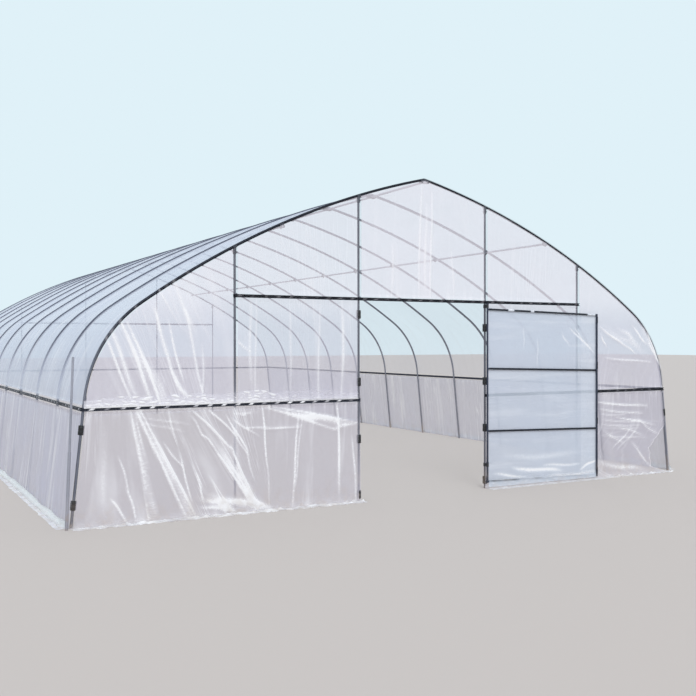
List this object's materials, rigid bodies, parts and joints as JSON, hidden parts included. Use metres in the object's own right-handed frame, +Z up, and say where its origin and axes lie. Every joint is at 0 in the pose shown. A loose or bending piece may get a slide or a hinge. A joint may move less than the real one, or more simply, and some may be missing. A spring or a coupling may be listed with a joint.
{
  "type": "polytunnel greenhouse",
  "caption": "Walk-in polytunnel greenhouse of bent steel hoops under clear film, with framed end walls and a hinged film-covered door standing open.",
  "frame": {"origin": "on the ground, in the middle of the tunnel's length and width", "axes": "+X to the right as the doorway is faced from outside, +Y along the tunnel from the doorway end to the rear end, +Z up"},
  "size_m": [7.3318, 11.9992, 3.2012],
  "materials": {
    "tube": "galvanised",
    "door_tube": "galvanised",
    "rail": "mill",
    "clamp": "galvanised",
    "hinge": "satin",
    "clip": "matte",
    "pole": "galvanised",
    "film": "translucent film"
  },
  "bodies": {
    "tunnel": {"door_hinges": "hinge", "film_clips": "clip", "front_door_post_left": "tube", "front_door_post_right": "tube", "front_film_left": "film", "front_film_right": "film", "front_film_top": "film", "front_header_rail": "rail", "front_outer_posts": "tube", "front_post_clamps": "clamp", "front_rail_left": "rail", "front_rail_right": "rail", "ground_flaps": "film", "guide_pole": "pole", "guide_pole_sleeve": "pole", "hoop_01": "tube", "hoop_02": "tube", "hoop_03": "tube", "hoop_04": "tube", "hoop_05": "tube", "hoop_06": "tube", "hoop_07": "tube", "hoop_08": "tube", "hoop_09": "tube", "hoop_10": "tube", "hoop_11": "tube", "hoop_12": "tube", "left_purlin": "tube", "left_side_rail": "rail", "purlin_clamps": "clamp", "rear_film": "film", "rear_header_rail": "rail", "rear_post_clamps": "clamp", "rear_posts": "tube", "rear_rail": "rail", "ridge_clamps": "clamp", "ridge_purlin": "tube", "right_purlin": "tube", "right_side_rail": "rail", "roof_film_left": "film", "roof_film_right": "film", "side_film_left": "film", "side_film_right": "film"},
    "door": {"door_clips": "clip", "door_film": "film", "door_frame": "door_tube"}
  },
  "joints": [
    {"name": "door_swing", "type": "hinge", "parent": "tunnel", "child": "door", "pos_m": [0.765, -5.8752, 0], "axis": [0, 0, -1], "range_deg": [0, 180]}
  ]
}
